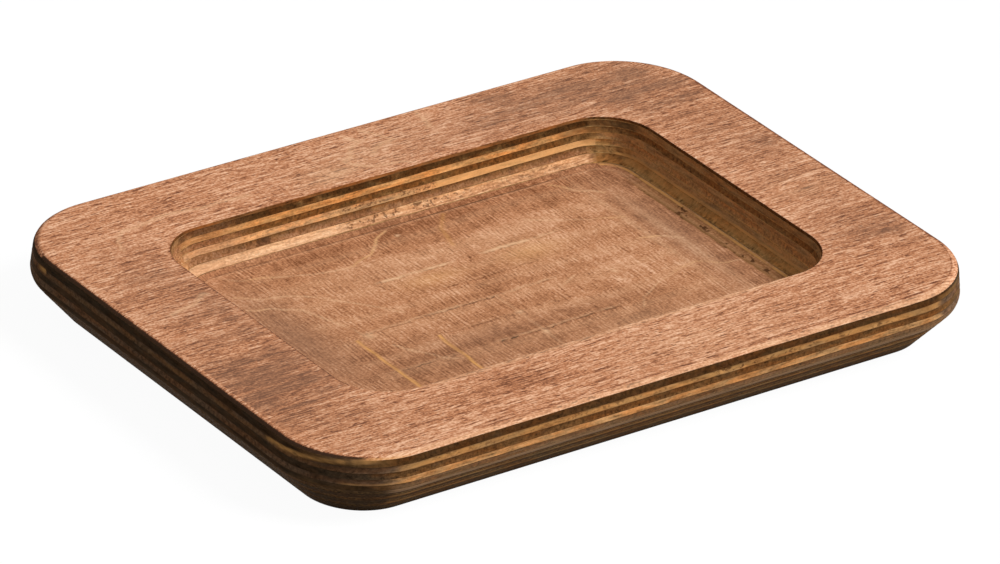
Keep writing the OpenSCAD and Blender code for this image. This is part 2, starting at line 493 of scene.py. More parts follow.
# Figure of the top face: pale curls, and soft patches, greyish ones first: centre, size and strength
CURL_WIDTH = 0.6
CURL_SWAY = 1.5
TOP_CURLS = [
    [(0, 65), (3, 61), (-5, 54.5), (-1, 49.5), (9, 47)],
    [(-76, 45), (-70, 52), (-57, 54), (-36, 52.5)],
    [(-85, 13), (-77, 14), (-70, 16)],
    [(22, 60), (25, 66), (25, 69)],
    [(6, 66), (10, 60), (4, 56)],
]
TOP_CLOUDS = [
    (-82, 0, 14, 48, 0.26), (-72, 2, 4, 32, 0.25), (-82, -28, 13, 12, 0.55), (-90, -38, 5, 7, 0.2),
    (-87, -19, 6, 5, 0.3), (-77, 29, 6, 4, 0.15), (-74, -56, 16, 10, 0.1), (57, 57, 16, 7, 0.5),
    (74, 53, 16, 11, 0.5), (82, 59, 4, 4, 0.45), (87, 48, 4, 7, 0.3), (44, 66, 6, 3, 0.35),
    (34, 53, 8, 5, 0.12), (83, 10, 12, 40, 0.16), (83, -34, 12, 8, 0.35), (84, -21, 9, 4, 0.16),
    (88, 15, 4, 9, 0.2), (87, -41, 4, 5, 0.2),
]
TOP_PATCHES = {
    DARK: [
        (-30, -56, 13, 5, 0.4), (74, -60, 6, 4, 0.15), (-55, 57, 12, 9, 0.17), (-80, -27, 14, 12, 0.2),
        (-30, -53, 18, 8, 0.12), (80, 33, 9, 6, 0.14), (80, -60, 12, 5, 0.12),
    ],
    GREY: [(30, 57, 36, 12, 0.15), (80, 30, 12, 30, 0.08)],
    PALE: [(18, -60, 20, 9, 0.1), (-13, 51, 8, 4, 0.25), (0, 55, 14, 6, 0.1), (82, -10, 10, 5, 0.12)],
}


def top_marks(x, y):
    """Pale, dark, gold and grey marks of the top face."""
    sway_x = x + CURL_SWAY * noise(x / 6, y / 6, 0, 41)
    sway_y = y + CURL_SWAY * noise(x / 6, y / 6, 0, 42)
    streaks = 1 + 0.5 * noise(x / 9, y / 3, 0, 43) + 0.6 * noise(x / 20, y / 1.2, 0, 44)
    clouds = np.clip(clouds_of(TOP_CLOUDS, x, y) * streaks, 0, 0.65)
    curls = sum(line_mark(sway_x, sway_y, curl, CURL_WIDTH) for curl in TOP_CURLS)
    lip = bell(y + RECESS_WIDTH / 2 + 0.6, 0.7) * smooth_step(56, 46, np.abs(x))
    marks = np.zeros(np.shape(x) + (4,))
    marks[..., PALE] = 0.42 * np.clip(curls, 0, 1) + 0.35 * lip
    marks[..., DARK] = 0.7 * clouds
    marks[..., GREY] = 0.6 * clouds
    for kind, patches in TOP_PATCHES.items():
        marks[..., kind] += streaks * clouds_of(patches, x, y)
    return np.clip(marks, 0, [1, 0.6, 1, 0.6])


def top_rows():
    """Rows of the top face from the round-over to the recess, without the two rows at its ends."""
    outer, inner = wall_row(LAYERS[0], False, 0.0), wall_row(LAYERS[0], True, 0.0)
    rows = []
    for i in [END_ROW, *range(1, TOP_ROWS), TOP_ROWS - END_ROW]:
        row = outer + (inner - outer) * i / TOP_ROWS
        x, y = row[:, 0], row[:, 1]
        row[:, 2] = TOP - TOP_RELIEF * (1 + noise(x / 7, y / 1.6, 0, 51))
        row[:, CUT] = FLAT_CUT
        row[:, MARKS] = top_marks(x, y)
        if i > TOP_ROWS - 1:
            row[:, MARKS][:, DARK] += LIP_SHADE * on_bearing(*LIP_BEARINGS)
        if i == 1:
            broken = smooth_step(-0.7, 0.3, noise(x / 5, y / 5, 0, 52))
            row[:, MARKS][:, DARK] += RIM_GROOVE * on_bearing(255, 300) * broken
        rows.append(row)
    return rows


# Cutter passes of the recess floor
PASS_FIRST = 15.7
PASS_PITCH = 9.4
PASS_COUNT = 5
PASS_HALF_LENGTH = 48.0
PASS_RIDGE = 0.06
PASS_SCALLOP = 0.03

# Marks of the recess floor: growth-ring lines, and other lines with their kind, width and strength
RING_WIDTH = 0.3
RING_SWAY = 0.8
FLOOR_RINGS = [
    [(-53.5, 36.5), (-49, 32.5), (-44, 31.5), (-33, 27.5), (-23, 26), (-15, 29), (-10, 34.5), (-6, 37.5)],
    [(-56, 27), (-50, 23.5), (-44, 21.5), (-39, 17.5), (-34.5, 12.5), (-30, 7.5), (-25, 1)],
    [(-56, 21), (-50, 17.5), (-47, 15), (-43.5, 11), (-41, 1), (-39.5, -4)],
    [(41.5, 36), (46, 31), (50.5, 26)],
    [(26.5, 24.5), (35, 19), (43.5, 16.5), (47.5, 14)],
    [(13.5, -7.5), (20, -5)],
    [(25.5, -25), (28, -21), (35, -17.5), (42.5, -14.5), (48.5, -13.5), (55, -17), (59, -18)],
    [(44, 3.5), (49, 1.5), (54, -2.5)],
    [(-37, -10.5), (-33, -17), (-30.5, -22), (-27, -24.5)],
]
FLOOR_LINES = [
    (GOLD, [(-42.8, -5), (-43, -30), (-42.9, -38)], 0.4, 0.95),
    (GOLD, [(-25, -12.5), (-25.4, -30), (-25.3, -38)], 0.36, 0.95),
    (GOLD, [(11, 37), (6.5, 31.5), (4, 23)], 0.6, 0.35),
    (PALE, [(-2, -3), (-2.1, -32)], 0.4, 0.22),
    (DARK, [(4.3, 17), (3.3, 14.3)], 0.22, 0.75),
    (DARK, [(22, 5.7), (22.3, 3.9), (23.1, 2.4)], 0.22, 0.65),
    (DARK, [(-26, -2.5), (-11.5, -2.2), (0, 1), (3.5, 8), (4, 17), (6, 23)], 2.4, 0.18),
]
# Lines where two cutter passes meet, by pass: start, end, glint and shade
FLOOR_SCORES = {
    0: [(-22, -2, 1.6, 0.65), (8, 21, 1.6, 0.65), (21, 30, 0.6, 0.65)],
    1: [(-10, 16, 0.1, 0.6)],
    2: [(-40, -22, 0.4, 0.6), (-22, -12, 0.7, 0.75), (-12, 0, 0.3, 0.75), (0, 15, 0.6, 0.7)],
    3: [(-20, 0, 0.1, 0.7), (5, 15, 0.1, 0.5)],
    4: [(-45, -27, 0.2, 0.6), (-15, 20, 0.4, 0.78)],
}
# Soft patches, by kind: centre, size and strength
FLOOR_PATCHES = {
    DARK: [
        (0, 34.5, 75, 6.5, 0.47), (0, -24, 60, 7, 0.26), (46, 13, 6, 25, 0.16), (-34, 2, 10, 20, 0.27),
        (-6, 0, 7, 14, 0.26), (-18, -24, 10, 4, 0.15), (-44, -14, 13, 11, 0.22), (-32, 27, 10, 5, 0.12),
        (57, 5, 3.5, 40, 0.6), (50.4, 5, 0.8, 30, 0.22), (-50, 8, 4, 30, 0.16), (-56, 8, 5, 26, 0.08),
        (-12, -15, 9, 3, 0.16), (-22, -20, 20, 1.6, 0.2), (-40, -24, 16, 8, 0.1), (49.8, 5, 0.7, 30, 0.2),
        (-25.5, -27, 0.5, 1, 0.35), (-18, -24, 16, 4, 0.12), (-2, 0, 5, 14, 0.1), (48, 31, 7, 4, 0.14),
    ],
    GREY: [
        (0, -29, 60, 6, 0.16), (-32, -18, 22, 10, 0.16), (53, 5, 5, 30, 0.2), (-14, -18, 9, 3, 0.14),
        (16, -18, 14, 4, 0.08), (56, 5, 8, 40, 0.14), (-54, 4, 9, 26, 0.4), (-56, 0, 6, 26, 0.1),
        (53, -5, 5, 24, 0.1), (0, -18, 26, 3.5, 0.1),
    ],
    PALE: [
        (20, -29, 9, 4, 0.14), (16, 12, 8, 8, 0.12), (-8, 20, 36, 3, 0.12), (-2, -12.4, 0.9, 0.7, 0.5),
        (-2, -23.3, 0.9, 0.9, 0.6), (-39, -4.4, 1.2, 1.2, 0.5), (-4.7, 33.5, 0.6, 0.5, 0.9),
        (29.5, -7, 0.6, 1, 0.45), (47.3, 5, 0.9, 30, 0.22), (52.6, -3, 1.3, 26, 0.2),
    ],
    GOLD: [(-10, 11.5, 8, 3, 0.25), (18, 11, 8, 4, 0.25)],
}


def floor_relief(x, y):
    """How far the recess floor stands off its level, from the cutter's passes."""
    inside = smooth_step(PASS_HALF_LENGTH + 0.5, PASS_HALF_LENGTH - 0.5, np.abs(x))
    lanes = (PASS_FIRST - y) / PASS_PITCH
    lane = np.abs(lanes - np.round(lanes)) * PASS_PITCH
    counted = (np.round(lanes) > -0.5) & (np.round(lanes) < PASS_COUNT - 0.5)
    ridge = bell(lane, 0.35) * counted * inside
    rim = bell(np.abs(x) - PASS_HALF_LENGTH, 0.4)
    scallop = 0.5 - 0.5 * np.cos(2 * math.pi * lanes)
    return PASS_RIDGE * (ridge + 0.7 * rim) - PASS_SCALLOP * scallop * inside


def score_marks(x, y):
    """Glints and shades along the lines where two cutter passes meet."""
    pale, dark = np.zeros((2,) + np.shape(x))
    glint = 0.6 + 0.4 * noise(x / 1.2, y / 0.8, 0, 61)
    shade = smooth_step(-0.7, 0.3, noise(x / 1.7, y / 9, 0, 65))
    waver = y + 0.3 * noise(x / 6, 0, 0, 62) + 0.2 * noise(x / 1.3, 0, 0, 66)
    for number, scores in FLOOR_SCORES.items():
        off = waver - (PASS_FIRST - number * PASS_PITCH)
        for start, end, light, depth in scores:
            reach = stretch(start, end, 2, x)
            pale = np.maximum(pale, light * reach * glint * bell(off - 0.3, 0.5))
            dark = np.maximum(dark, depth * reach * shade * bell(off + 0.25, 0.25))
    return pale, dark


def foot_gap(x, y):
    """How far a place lies inside the line where the cove meets the floor."""
    beyond_x = np.abs(x) - (RECESS_LENGTH / 2 - RECESS_RADIUS)
    beyond_y = np.abs(y) - (RECESS_WIDTH / 2 - RECESS_RADIUS)
    beyond = np.hypot(np.maximum(beyond_x, 0), np.maximum(beyond_y, 0))
    return RECESS_RADIUS - recess_inset(RECESS_DEPTH) - beyond - np.minimum(np.maximum(beyond_x, beyond_y), 0)


def pass_shades(x, y):
    """Faint bands of painted light and shade along the cutter's passes, and the cutter's lines at the left
    end.
    """
    lanes = (PASS_FIRST - y) / PASS_PITCH
    inside = smooth_step(PASS_HALF_LENGTH + 2, PASS_HALF_LENGTH - 2, np.abs(x))
    wave = np.sin(2 * math.pi * lanes + 1.5 * noise(x / 25, lanes, 0, 67))
    combed = smooth_step(-50, -54, x) * smooth_step(26, 14, y) * smooth_step(-28, -8, y)
    comb = 0.5 + 0.5 * np.cos(2 * math.pi * x / 1.35)
    return 0.1 * inside * np.clip(wave, 0, 1), 0.11 * inside * np.clip(-wave, 0, 1) + 0.25 * combed * comb


def floor_marks(x, y):
    """Pale, dark, gold and grey marks of the recess floor."""
    sway_x = x + RING_SWAY * noise(x / 5, y / 5, 0, 63)
    sway_y = y + RING_SWAY * noise(x / 5, y / 5, 0, 64)
    marks = np.zeros(np.shape(x) + (4,))
    faded = 0.55 + 0.3 * noise(x / 7, y / 7, 0, 68) + 0.2 * noise(x / 1.5, y / 1.5, 0, 70)
    for ring in FLOOR_RINGS:
        near = faded * line_mark(sway_x, sway_y, ring, RING_WIDTH)
        marks[..., PALE] += 0.7 * near
        marks[..., GOLD] += 0.5 * near * smooth_step(-0.1, 0.5, noise(x / 9, y / 9, 0, 73))
    broken = 0.9 + 0.3 * noise(x / 3, y / 2.5, 0, 74)
    for kind, points, width, strength in FLOOR_LINES:
        near = line_mark(x + 0.25 * noise(x / 4, y / 4, 0, 69), y, points, width)
        marks[..., kind] += strength * broken * near
    for kind, patches in FLOOR_PATCHES.items():
        marks[..., kind] += clouds_of(patches, x, y)
    gap = foot_gap(x, y)
    foot = smooth_step(25, 35, y) * smooth_step(52, 42, x)
    border = right_border(x, y)
    # Painted shade in the crease where the cove meets the floor on the far side, and a darker strip at the
    # foot of the right wall
    marks[..., DARK] += 0.55 * foot * bell(gap + 0.3, 0.3) + 0.55 * border
    marks[..., GOLD] += 0.2 * border
    marks[..., PALE] += 0.15 * bell(gap - 0.2, 0.5)
    for pale, dark in (score_marks(x, y), pass_shades(x, y)):
        marks[..., PALE] += pale
        marks[..., DARK] += dark
    return np.clip(marks, 0, [1, 0.95, 1, 1])


def right_border(x, y):
    """1 on the strip along the foot of the right wall."""
    gap = foot_gap(x, y) + 0.25 * noise(x / 2, y / 2, 0, 72)
    strip = smooth_step(-2.1, -1.7, gap) * smooth_step(1.9, 1.1, gap)
    return strip * smooth_step(48, 54, x) * smooth_step(32, 22, y) * smooth_step(-40, -32, y)


def floor_tear(x, y):
    """Torn spots of the recess floor."""
    return 1.5 * right_border(x, y) * smooth_step(0.05, 0.55, noise(x / 1.6, y / 2.2, 0, 71))


def floor_patch(rim):
    """Grid over the recess floor whose border is the given row, blended in from its four sides."""
    across, along = STEPS_Y + STEPS_CORNER, STEPS_X + STEPS_CORNER
    ends = np.cumsum([0, across, along, across, along])
    sides = [rim[np.arange(a, b + 1) % COUNT, :2] for a, b in zip(ends, ends[1:])]
    right, far, left, near = sides[0], sides[1][::-1], sides[2][::-1], sides[3]
    u = np.linspace(0, 1, along + 1)[:, None, None]
    v = np.linspace(0, 1, across + 1)[None, :, None]
    corners = ((1 - u) * (1 - v) * near[0] + u * (1 - v) * near[-1] + (1 - u) * v * far[0] + u * v * far[-1])
    grid = (1 - v) * near[:, None] + v * far[:, None] + (1 - u) * left[None] + u * right[None] - corners
    x, y = grid[..., 0], grid[..., 1]
    patch = np.zeros(grid.shape[:2] + (COLUMNS,))
    patch[..., :2] = grid
    patch[..., 2] = FLOOR_LEVEL + floor_relief(x, y)
    patch[..., CUT] = FLAT_CUT
    patch[..., MARKS] = floor_marks(x, y)
    patch[..., TEAR] = floor_tear(x, y)
    return patch


def rows_to_faces(rows, closed):
    """Quads between rows of COUNT points that face outwards where the rows run down the outside."""
    step = np.arange(COUNT)
    after = (step + 1) % COUNT
    quads = []
    for i in range(rows if closed else rows - 1):
        here, below = i * COUNT, (i + 1) % rows * COUNT
        quads.append(np.stack([here + step, below + step, below + after, here + after], 1))
    return np.concatenate(quads)


def patch_to_faces(patch, rim_start, inner_start):
    """Quads of a floor grid, its border taken from a row that is already there."""
    along, across = patch.shape[0] - 1, patch.shape[1] - 1
    ids = np.full((along + 1, across + 1), -1)
    rim = rim_start + np.arange(COUNT)
    ids[-1, :-1] = rim[:across]
    ids[:0:-1, -1] = rim[across:across + along]
    ids[0, :0:-1] = rim[across + along:2 * across + along]
    ids[:-1, 0] = rim[2 * across + along:]
    ids[1:-1, 1:-1] = inner_start + np.arange((along - 1) * (across - 1)).reshape(along - 1, across - 1)
    return np.stack([ids[:-1, :-1], ids[1:, :-1], ids[1:, 1:], ids[:-1, 1:]], -1).reshape(-1, 4)


def add_object(name, data):
    """A new object in the scene."""
    made = bpy.data.objects.new(name, data)
    bpy.context.scene.collection.objects.link(made)
    return made


def make_piece(name, points, quads, caps, sharp_rows):
    """A closed mesh object from points with their cut and marks, quads and many-sided caps."""
    mesh = bpy.data.meshes.new(name)
    mesh.from_pydata((points[:, :3] * MM).tolist(), [], quads.tolist() + [cap.tolist() for cap in caps])
    for label, columns, kind, field in ATTRIBUTES:
        values = points[:, columns].astype(np.float32).ravel()
        mesh.attributes.new(label, kind, "POINT").data.foreach_set(field, values)
    mesh.polygons.foreach_set("use_smooth", np.ones(len(mesh.polygons), bool))
    ends = np.empty(2 * len(mesh.edges), np.int32)
    mesh.edges.foreach_get("vertices", ends)
    rows = ends.reshape(-1, 2) // COUNT
    sharp = (rows[:, 0] == rows[:, 1]) & np.isin(rows[:, 0], sharp_rows)
    mesh.attributes.new("sharp_edge", "BOOLEAN", "EDGE").data.foreach_set("value", sharp)
    mesh.update()
    return add_object(name, mesh)


def make_frame_layer(name, layer):
    """A layer that the recess passes through: a closed ring."""
    thin = "glue" in layer
    outer = wall_rows(layer, False, 1 if thin else OUTER_ROWS, 2 if layer == LAYERS[0] else 1)
    inner = wall_rows(layer, True, 1 if thin else RECESS_ROWS)[::-1]
    face = top_rows()[::-1] if layer == LAYERS[0] else []
    rows = outer + inner + face
    sharp = [0, len(outer) - 1, len(outer), len(outer) + len(inner) - 1]
    if face:
        sharp = sharp[1:3]
    return make_piece(name, np.concatenate(rows), rows_to_faces(len(rows), True), [], sharp)


def base_row(edge):
    """Border of the underside, a little inside the foot of the bevel, with the look of a flat face."""
    row = edge.copy()
    row[:, :2] -= BASE_BORDER * NORMALS
    row[:, CUT] = FLAT_CUT
    row[:, MARKS] = 0
    row[:, TEAR] = 0
    return row


def make_plate_layer(name, layer):
    """A layer under the recess: a plate with a cut edge."""
    rows = wall_rows(layer, False, 1 if "glue" in layer else OUTER_ROWS)
    sharp = [0, len(rows) - 1]
    if layer == LAYERS[-1]:
        rows.append(base_row(rows[-1]))
    first, last = np.arange(COUNT), (len(rows) - 1) * COUNT + np.arange(COUNT)
    quads = rows_to_faces(len(rows), False)
    return make_piece(name, np.concatenate(rows), quads, [first, last[::-1]], sharp)


def make_floor_layer(name, layer):
    """The layer that the recess ends in: a plate with the recess floor cut into it."""
    outer = wall_rows(layer, False, OUTER_ROWS)[::-1]
    inner = wall_rows(layer, True, COVE_FOOT_ROWS, near_foot=2)
    for row in inner:
        row[:, MARKS] = np.maximum(row[:, MARKS], floor_marks(row[:, 0], row[:, 1]))
        row[:, TEAR] = np.maximum(row[:, TEAR], floor_tear(row[:, 0], row[:, 1]))
    inner[-1][:, 2] = FLOOR_LEVEL + floor_relief(inner[-1][:, 0], inner[-1][:, 1])
    rows = outer + inner
    patch = floor_patch(inner[-1])
    points = np.concatenate(rows + [patch[1:-1, 1:-1].reshape(-1, COLUMNS)])
    quads = rows_to_faces(len(rows), False)[:, ::-1]
    floor = patch_to_faces(patch, (len(rows) - 1) * COUNT, len(rows) * COUNT)
    sharp = [0, len(outer) - 1, len(outer)]
    return make_piece(name, points, np.concatenate([quads, floor]), [np.arange(COUNT)[::-1]], sharp)


# Cell of the noise that the grain wanders by, and how far one seed lies from the next
SWAY_CELL = 22
SEED_STEP = (3.7, 5.3, 1.9)
# Fine cutter lines: how far they are set off from pass to pass and how far they wander, in radians
HATCH_STEP = 2.4
HATCH_SWAY = 9.0


class Tree:
    """The node tree of a material or world, filled anew."""

    def __init__(self, owner):
        owner.use_nodes = True
        self.nodes, self.links = owner.node_tree.nodes, owner.node_tree.links
        self.nodes.clear()

    def add(self, kind, inputs=(), **settings):
        """A node with its settings, and its inputs given as values or as other nodes' outputs."""
        node = self.nodes.new("ShaderNode" + kind)
        for key, value in settings.items():
            setattr(node, key, value)
        for key, value in dict(inputs).items():
            if isinstance(value, bpy.types.NodeSocket):
                self.links.new(value, node.inputs[key])
            else:
                node.inputs[key].default_value = value
        return node

    def math(self, operation, a, b, clamp=False):
        """Result of a sum, product or the like of two values or outputs."""
        return self.add("Math", {0: a, 1: b}, operation=operation, use_clamp=clamp).outputs[0]

    def mix(self, share, a, b):
        """One colour mixed into another."""
        return self.add("Mix", {0: share, 6: a, 7: b}, data_type="RGBA").outputs[2]

    def sway(self, reach):
        """Let all later noise wander by about a reach in millimetres, as grain does."""
        where = self.add("TexCoord").outputs["Object"]
        cells = {"Vector": where, "Scale": 1 / (SWAY_CELL * MM), "Detail": 1.0}
        drift = self.add("TexNoise", cells).outputs["Color"]
        scaled = self.add("VectorMath", {0: drift, 1: (2 * reach * MM,) * 3}, operation="MULTIPLY").outputs[0]
        self.where = self.add("VectorMath", {0: where, 1: scaled}, operation="ADD").outputs[0]

    def noise(self, seed, size, detail=2.0):
        """Noise with cells of a size in millimetres along X, Y and Z."""
        per = tuple(1 / (part * MM) for part in size)
        offset = tuple(seed * step for step in SEED_STEP)
        placed = self.add("Mapping", {"Vector": self.where, "Location": offset, "Scale": per}).outputs[0]
        return self.add("TexNoise", {"Vector": placed, "Scale": 1.0, "Detail": detail}).outputs["Fac"]

    def height(self):
        """Height above the base in millimetres."""
        place = self.add("SeparateXYZ", {0: self.add("TexCoord").outputs["Object"]}).outputs[2]
        return self.math("DIVIDE", place, MM)

    def grain(self, along_y, seed, length, width, detail):
        """Noise drawn out along the grain: length along it and width across it."""
        return self.noise(seed, (width, length, width) if along_y else (length, width, width), detail)

    def flecks(self, value, low, high, least=0.0):
        """1 where a noise is high, and the least value where it is low."""
        inputs = {"Value": value, "From Min": low, "From Max": high, "To Min": least}
        return self.add("MapRange", inputs, interpolation_type="SMOOTHSTEP").outputs[0]

    def hatch(self, pitch, seed):
        """Fine lines across X, about a pitch apart and set off from pass to pass, from 0 to 1."""
        along, across, _ = self.add("SeparateXYZ", {0: self.where}).outputs
        turns = self.math("MULTIPLY", along, 2 * math.pi / (pitch * MM))
        lanes = self.math("DIVIDE", self.math("SUBTRACT", PASS_FIRST * MM, across), PASS_PITCH * MM)
        turns = self.math("ADD", turns, self.math("MULTIPLY", self.math("FLOOR", lanes, 0.0), HATCH_STEP))
        sway = self.math("MULTIPLY", self.noise(seed, (2.4, 9, 9), 1.0), HATCH_SWAY)
        wave = self.math("SINE", self.math("ADD", turns, sway), 0.0)
        strength = self.flecks(self.noise(seed + 1, (14, 6, 6), 1.0), 0.35, 0.65, 0.25)
        broken = self.flecks(self.noise(seed + 2, (1.6, 3.5, 3.5), 1.0), 0.38, 0.6, 0.15)
        strength = self.math("MULTIPLY", strength, broken)
        return self.math("ADD", 0.5, self.math("MULTIPLY", wave, self.math("MULTIPLY", strength, 0.5)))

    def tone(self, noises, weights):
        """A value about one half, from noises and their weights by name."""
        total = 0.5
        for name, weight in weights.items():
            swing = self.math("SUBTRACT", noises[name], 0.5)
            total = self.math("ADD", total, self.math("MULTIPLY", swing, weight))
        return total

    def ramp(self, value, colours):
        """Evenly spaced colours over a value from 0 to 1."""
        node = self.add("ValToRGB", {"Fac": value})
        stops = node.color_ramp.elements
        while len(stops) < len(colours):
            stops.new(0.5)
        for i, colour in enumerate(colours):
            stops[i].position = i / (len(colours) - 1)
            stops[i].color = (*colour, 1)
        return node.outputs["Color"]


# Colours of stained birch: flat faces have a dark, a middle and a pale tone
FLAT_TONES = {
    "face": [(0.175, 0.064, 0.034), (0.575, 0.242, 0.116), (0.93, 0.565, 0.36)],
    "long": [(0.34, 0.14, 0.06), (0.62, 0.30, 0.145), (0.92, 0.60, 0.36)],
    "cross": [(0.22, 0.082, 0.035), (0.545, 0.246, 0.118), (0.86, 0.51, 0.32)],
    "glue": [(0.10, 0.055, 0.02), (0.26, 0.13, 0.05), (0.42, 0.24, 0.10)],
}
# Cut walls: along and across the grain in the recess, along and across it outside, and on the bevel
WALL_COLOURS = {
    "face": [
        (0.23, 0.09, 0.029), (0.13, 0.053, 0.016), (0.55, 0.27, 0.14), (0.17, 0.085, 0.045),
        (0.19, 0.10, 0.045)],
    "long": [
        (0.61, 0.29, 0.102), (0.40, 0.195, 0.066), (0.53, 0.257, 0.10), (0.185, 0.098, 0.053),
        (0.67, 0.347, 0.132)],
    "cross": [
        (0.40, 0.205, 0.073), (0.152, 0.063, 0.018), (0.075, 0.042, 0.022), (0.162, 0.067, 0.021),
        (0.32, 0.17, 0.07)],
    "glue": [
        (0.13, 0.06, 0.02), (0.42, 0.24, 0.09), (0.10, 0.045, 0.016), (0.08, 0.045, 0.022),
        (0.06, 0.03, 0.015)],
}
# Plies that took the stain more, and the share of each of these colours that is left
TINTS = {"cross_ply_2": (0.75, 0.52, 0.78, 0.46, 1), "long_ply_3": (0.91, 0.8, 0.58, 0.8, 1)}
UNTINTED = (1, 1, 1, 1, 1)
# Tints that the walls vary between, and colours of the marks
REDDER = (1.06, 0.93, 0.78, 1)
YELLOWER = (0.95, 1.05, 1.12, 1)
PALE_MARK = (0.84, 0.52, 0.30, 1)
DARK_MARK = (0.042, 0.023, 0.013, 1)
GREY_MARK = (0.26, 0.15, 0.095, 1)
TORN_MARK = (0.12, 0.05, 0.02, 1)
GOLD_MARK = (0.74, 0.37, 0.12, 1)
# How far the grain wanders, the pitch of the fine cutter lines on the recess floor, and the finish
GRAIN_SWAY = 1.2
HATCH_PITCH = 1.05
ROUGHNESS = 0.72
SPECULAR = 0.02
BUMP_STRENGTH = 0.35
BUMP_HEIGHT = 0.12

# Noises drawn out along the grain: seed, length along it, width across it, and detail
GRAINS = {
    "streaks": (6, 4.0, 0.42, 1.0), "lines": (8, 45, 0.9, 2.0), "pores": (0, 2.8, 0.40, 2.0),
    "fibres": (1, 6.0, 0.36, 2.0), "blotches": (3, 5.0, 1.0, 2.0), "bands": (4, 80, 2.4, 2.0),
    "clouds": (5, 26, 13, 3.0),
}
# Other noises: seed, and size along X, Y and Z
SPECKS = {"speckle": (2, (0.7, 0.5, 0.5)), "strokes": (7, (1.0, 1.4, 0.55)), "hues": (12, (7, 7, 1.6))}
# Noises that are sharpened into flecks: low, high and least value
FLECKS = {
    "pores": (0.55, 0.70, 0.3), "fibres": (0.56, 0.74, 0.3),
    "strokes": (0.50, 0.62, 0.0), "hues": (0.35, 0.65, 0.0),
}
# Weights of the noises in the tone of flat faces, of flat cross plies and of cut walls, and in the bump
FLAT_WEIGHTS = {
    "streaks": 1.25, "lines": 0.7, "fibres": 0.36, "pores": -0.78, "speckle": 1.2, "bands": 0.35,
    "clouds": 0.35,
}
CROSS_WEIGHTS = {
    "streaks": 0.6, "lines": 0.35, "pores": -0.35, "speckle": 1.1, "bands": 0.2, "clouds": 0.45,
    "mottles": 0.45, "hatch": 0.33,
}
WALL_WEIGHTS = {
    "streaks": 0.7, "lines": 0.8, "pores": -0.3, "speckle": 0.8, "blotches": 1.5, "clouds": 0.5,
}
BUMP_WEIGHTS = {"fibres": 0.4, "pores": -0.4, "speckle": 0.6}


def tinted(colour, tint):
    """A colour darkened by a tint, with its alpha."""
    return tuple(tint * part for part in colour) + (1,)


def wood_noises(tree, along_y, seed):
    """The noises that a wood's tones are mixed from, by name."""
    found = {}
    for name, (offset, length, width, detail) in GRAINS.items():
        found[name] = tree.grain(along_y, seed + offset, length, width, detail)
    for name, (offset, size) in SPECKS.items():
        found[name] = tree.noise(seed + offset, size)
    for name, limits in FLECKS.items():
        found[name] = tree.flecks(found[name], *limits)
    return found


def routed_noises(tree, cut, seed):
    """Mottles, and fine cutter lines that show on the recess floor alone."""
    raised = tree.flecks(tree.height(), FLOOR_LEVEL + 0.1, FLOOR_LEVEL + 0.3)
    routed = tree.math("SUBTRACT", 1.0, tree.math("MAXIMUM", raised, cut[0]))
    hatch = tree.math("MULTIPLY", tree.math("SUBTRACT", tree.hatch(HATCH_PITCH, seed + 9), 0.5), routed)
    return {"mottles": tree.noise(seed + 11, (7, 4, 4)), "hatch": tree.math("ADD", 0.5, hatch)}


def flat_colour(tree, kind, noises, marks):
    """Colour of a face that lies along its veneer, with its dark and grey marks."""
    tone = tree.tone(noises, CROSS_WEIGHTS if kind == "cross" else FLAT_WEIGHTS)
    tone = tree.math("SUBTRACT", tone, tree.math("MULTIPLY", marks[DARK], 0.6))
    flat = tree.mix(marks[GREY], tree.ramp(tone, FLAT_TONES[kind]), GREY_MARK)
    return tree.mix(tree.flecks(marks[DARK], 0.7, 1.0), flat, DARK_MARK)


def wall_colour(tree, colours, noises, cut, dark):
    """Colour of a cut wall, which follows how the grain was cut, with its dark marks."""
    along_inside, across_inside, along_outside, across_outside, bevelled = colours
    outside = tree.math("MINIMUM", cut[2], 1.0)
    bevel = tree.math("SUBTRACT", cut[2], 1.0, True)
    along = tree.mix(outside, along_inside, along_outside)
    across = tree.mix(outside, across_inside, across_outside)
    wall = tree.mix(bevel, tree.mix(cut[0], along, across), bevelled)
    light = tree.math("ADD", 0.4, tree.math("MULTIPLY", tree.tone(noises, WALL_WEIGHTS), 1.2))
    for factor in (light, tree.mix(noises["hues"], REDDER, YELLOWER)):
        wall = tree.add("VectorMath", {0: wall, 1: factor}, operation="MULTIPLY").outputs[0]
    share = tree.math("MULTIPLY", dark, tree.math("ADD", 0.35, noises["speckle"]), True)
    return tree.mix(share, wall, DARK_MARK)


